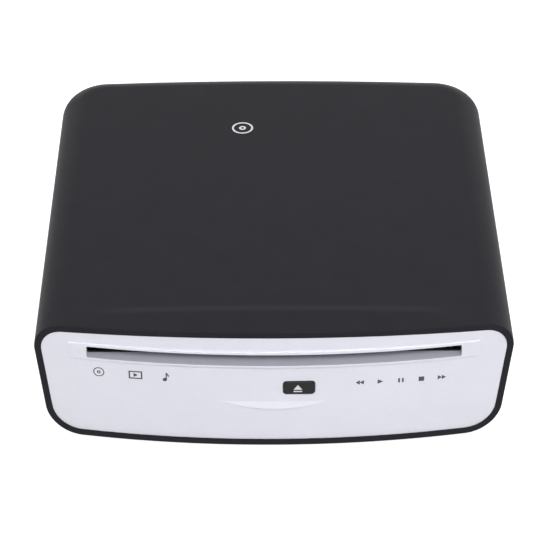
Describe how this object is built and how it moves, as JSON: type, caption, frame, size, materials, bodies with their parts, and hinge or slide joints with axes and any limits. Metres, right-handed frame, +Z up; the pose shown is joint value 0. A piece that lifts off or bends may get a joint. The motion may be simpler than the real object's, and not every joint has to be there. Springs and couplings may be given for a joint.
{
  "type": "external disc player",
  "caption": "Flat tabletop disc player with a rounded black case, a bowed silver front, a disc slot, an eject button and its slot-loading mechanism.",
  "frame": {"origin": "middle of the footprint, on the plane the feet stand on", "axes": "+X to the right seen from the front, +Y to the back, +Z up; the disc slot faces -Y"},
  "size_m": [0.1624, 0.1716, 0.05],
  "materials": {
    "case_black": "fine spark-eroded grain",
    "panel_silver": "silver paint, satin",
    "button_black": "polished",
    "rubber_black": "matte",
    "felt_black": "flocked",
    "sheet_steel": "zinc plated",
    "screw_steel": "dark zinc",
    "bright_steel": "ground",
    "gear_plastic": "natural acetal",
    "brass": "turned",
    "board_green": "solder resist",
    "chip_black": "moulded",
    "can_silver": "drawn",
    "connector_white": "moulded",
    "socket_black": "moulded",
    "loader_black": "moulded",
    "loader_grey": "moulded",
    "motor_can": "plated",
    "lens_glass": "coated"
  },
  "bodies": {
    "cabinet": {"base_tray": "case_black", "top_cover": "case_black", "case_screws": "screw_steel", "rubber_feet": "rubber_black", "faceplate": "panel_silver", "slot_felts": "felt_black", "tact_switch": "can_silver", "button_board": "board_green", "button_board_screws": "screw_steel", "mech_chassis": "sheet_steel", "mech_screws": "screw_steel", "disc_guide": "loader_black", "guide_screws": "screw_steel", "guide_felts": "felt_black", "drive_belt": "rubber_black", "load_motor": "motor_can", "gear_clips": "bright_steel", "hinge_pin": "bright_steel", "traverse_deck": "sheet_steel", "deck_dampers": "rubber_black", "spindle_motor": "motor_can", "guide_rods": "bright_steel", "sled_motor": "motor_can", "main_board": "board_green", "board_screws": "screw_steel", "board_chips": "chip_black", "board_capacitors": "can_silver", "board_connectors": "connector_white", "usb_socket": "motor_can", "power_jack": "socket_black", "av_jack": "socket_black"},
    "eject_button": {"eject_button": "button_black", "switch_plunger": "chip_black"},
    "turntable": {"turntable": "loader_black", "spindle_shaft": "bright_steel", "disc_ring": "rubber_black"},
    "clamp_arm": {"clamp_arm": "sheet_steel"},
    "clamp_puck": {"clamp_puck": "loader_black", "puck_cap": "loader_grey"},
    "roller_bracket": {"roller_bracket": "sheet_steel"},
    "roller": {"roller_shaft": "bright_steel", "feed_rollers": "rubber_black", "roller_gear": "gear_plastic"},
    "idler_gear": {"idler_gear": "gear_plastic"},
    "pulley_gear": {"pulley_gear": "gear_plastic"},
    "motor_pulley": {"motor_pulley": "brass", "motor_shaft": "bright_steel"},
    "cam_slide": {"cam_slide": "sheet_steel"},
    "sled": {"pickup_sled": "loader_black", "sled_nut": "gear_plastic"},
    "lens": {"lens_holder": "loader_grey", "objective_lens": "lens_glass"},
    "lead_screw": {"lead_screw": "bright_steel"}
  },
  "joints": [
    {"name": "button_press", "type": "slide", "parent": "cabinet", "child": "eject_button", "axis": [0, 1, 0], "range_m": [0, 0.0005], "stiffness_N_per_m": 800, "springref_m": -0.0008},
    {"name": "disc_spin", "type": "hinge", "parent": "cabinet", "child": "turntable", "pos_m": [0, 0.002, 0.034], "axis": [0, 0, 1], "continuous": true},
    {"name": "slide_travel", "type": "slide", "parent": "cabinet", "child": "cam_slide", "axis": [0, 1, 0], "range_m": [0, 0.009]},
    {"name": "bracket_swing", "type": "hinge", "parent": "cabinet", "child": "roller_bracket", "pos_m": [0, -0.052, 0.02315], "axis": [1, 0, 0], "range_deg": [0, 11]},
    {"name": "roller_spin", "type": "hinge", "parent": "roller_bracket", "child": "roller", "pos_m": [0, -0.066, 0.03315], "axis": [1, 0, 0], "continuous": true},
    {"name": "idler_spin", "type": "hinge", "parent": "cabinet", "child": "idler_gear", "pos_m": [0.0685, -0.06077, 0.04047], "axis": [1, 0, 0], "continuous": true},
    {"name": "pulley_spin", "type": "hinge", "parent": "cabinet", "child": "pulley_gear", "pos_m": [0.07, -0.0527, 0.03649], "axis": [1, 0, 0], "continuous": true},
    {"name": "motor_spin", "type": "hinge", "parent": "cabinet", "child": "motor_pulley", "pos_m": [0.07, -0.038, 0.027], "axis": [1, 0, 0], "continuous": true},
    {"name": "clamp_swing", "type": "hinge", "parent": "cabinet", "child": "clamp_arm", "pos_m": [0, 0.0685, 0.0439], "axis": [1, 0, 0], "range_deg": [0, 4]},
    {"name": "puck_spin", "type": "hinge", "parent": "clamp_arm", "child": "clamp_puck", "pos_m": [0, 0.002, 0.043], "axis": [0, 0, 1], "continuous": true},
    {"name": "sled_travel", "type": "slide", "parent": "cabinet", "child": "sled", "axis": [0, 1, 0], "range_m": [0, 0.034]},
    {"name": "lead_spin", "type": "hinge", "parent": "cabinet", "child": "lead_screw", "pos_m": [0.034, 0.04, 0.0246], "axis": [0, 1, 0], "range_deg": [0, 4080]},
    {"name": "focus", "type": "slide", "parent": "sled", "child": "lens", "axis": [0, 0, 1], "range_m": [-0.0005, 0.0005], "stiffness_N_per_m": 300}
  ],
  "couplings": [
    {"joint": "bracket_swing", "follows": "slide_travel", "rad_per_m": 21.33},
    {"joint": "clamp_swing", "follows": "slide_travel", "rad_per_m": 7.7562},
    {"joint": "idler_spin", "follows": "roller_spin", "ratio": -0.875},
    {"joint": "pulley_spin", "follows": "roller_spin", "ratio": 1},
    {"joint": "motor_spin", "follows": "roller_spin", "ratio": 2.9259},
    {"joint": "lead_spin", "follows": "sled_travel", "rad_per_m": 2094.2}
  ]
}
